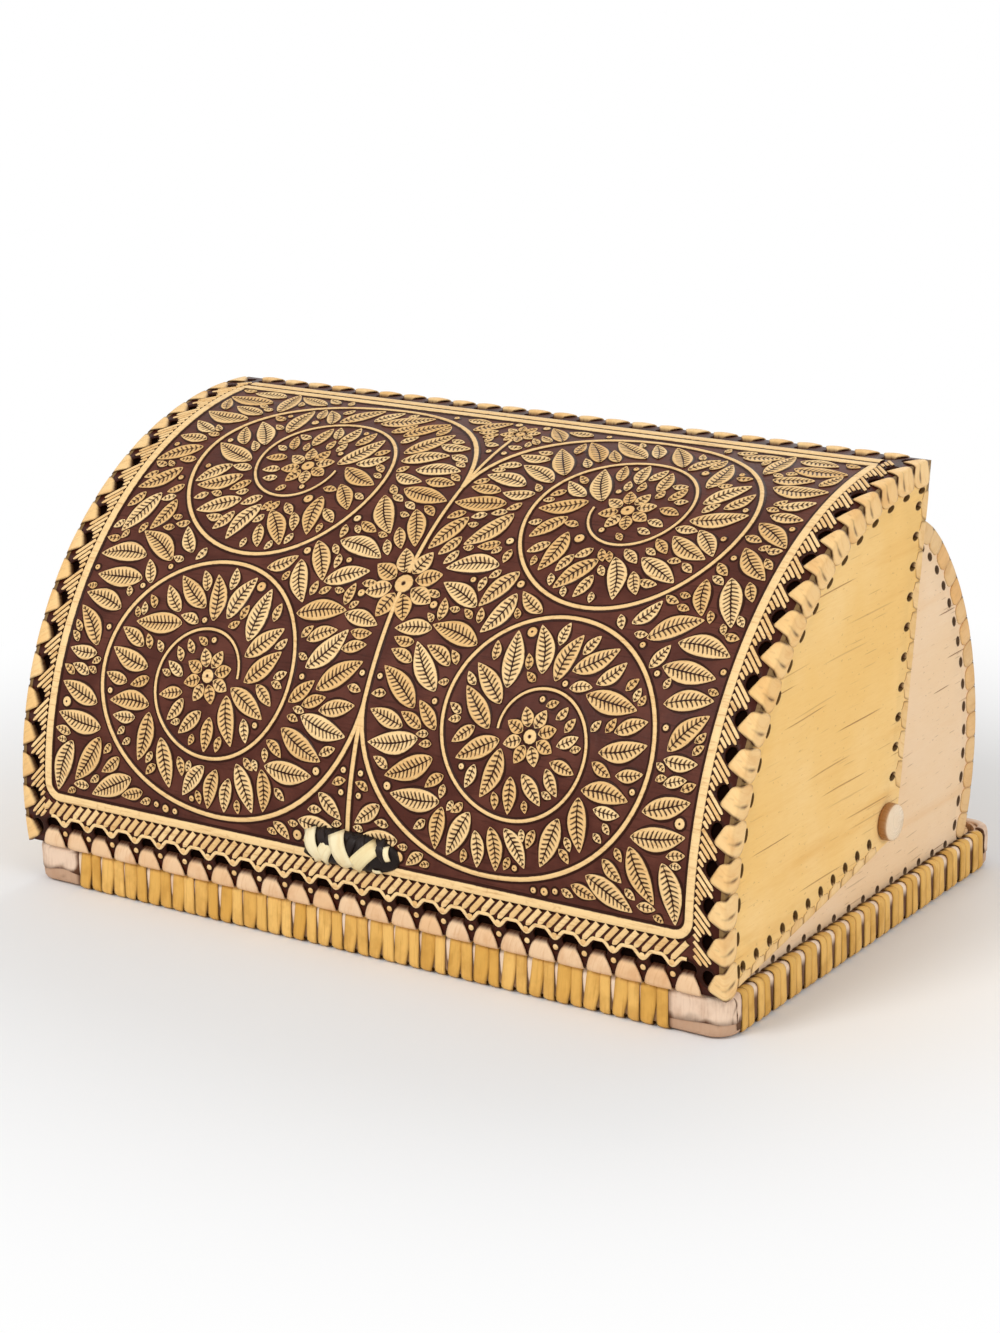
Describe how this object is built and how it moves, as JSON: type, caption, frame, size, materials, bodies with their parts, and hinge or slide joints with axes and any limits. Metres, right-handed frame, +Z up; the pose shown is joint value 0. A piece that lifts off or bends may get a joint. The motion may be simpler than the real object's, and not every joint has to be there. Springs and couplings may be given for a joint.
{
  "type": "birch bark box",
  "caption": "Lidded bread box of birch bark: a barrel lid swings back on wooden pegs over a rounded back, with laced edges and a wrapped rim.",
  "frame": {"origin": "middle of the base's underside, on the surface that the box stands on", "axes": "+X along the box to the right hinge peg, -Y out of the front, +Z up"},
  "size_m": [0.3908, 0.262, 0.2105],
  "materials": {
    "board_wood": "satin",
    "body_bark": "satin",
    "corner_bark": "satin",
    "embossed_bark": "satin",
    "floor_bark": "satin",
    "lacing_strips": "satin",
    "lid_side_bark": "satin",
    "lid_strips": "satin",
    "lining_bark": "satin",
    "peg_wood": "gloss",
    "plait_bark": "satin",
    "rim_core_bark": "satin",
    "rim_strips": "satin",
    "washer_wood": "matte"
  },
  "bodies": {
    "body": {"base_sheet": "floor_bark", "base_board": "board_wood", "floor_sheet": "floor_bark", "rim_core": "rim_core_bark", "rim_binding_front": "rim_strips", "rim_binding_back": "rim_strips", "rim_binding_left": "rim_strips", "rim_binding_right": "rim_strips", "rim_corners": "corner_bark", "back_shell": "body_bark", "back_lining": "lining_bark", "hinge_pegs": "peg_wood", "hinge_spacers": "washer_wood", "hinge_washers": "washer_wood", "side_panel_left": "body_bark", "side_lining_left": "lining_bark", "body_lacing_left": "lacing_strips", "side_panel_right": "body_bark", "side_lining_right": "lining_bark", "body_lacing_right": "lacing_strips"},
    "lid": {"lid_panel": "embossed_bark", "lid_lining": "lining_bark", "lid_front_lacing": "lid_strips", "lid_rear_lacing": "lid_strips", "pull_plait": "plait_bark", "pull_tie": "lid_strips", "lid_side_left": "lid_side_bark", "lid_side_lining_left": "lining_bark", "lid_arc_lacing_left": "lid_strips", "lid_edge_lacing_left": "lid_strips", "lid_under_lacing_left": "lid_strips", "lid_side_right": "lid_side_bark", "lid_side_lining_right": "lining_bark", "lid_arc_lacing_right": "lid_strips", "lid_edge_lacing_right": "lid_strips", "lid_under_lacing_right": "lid_strips"}
  },
  "joints": [
    {"name": "lid_hinge", "type": "hinge", "parent": "body", "child": "lid", "pos_m": [0, 0.0135, 0.054], "axis": [-1, 0, 0], "range_deg": [0, 90]}
  ]
}
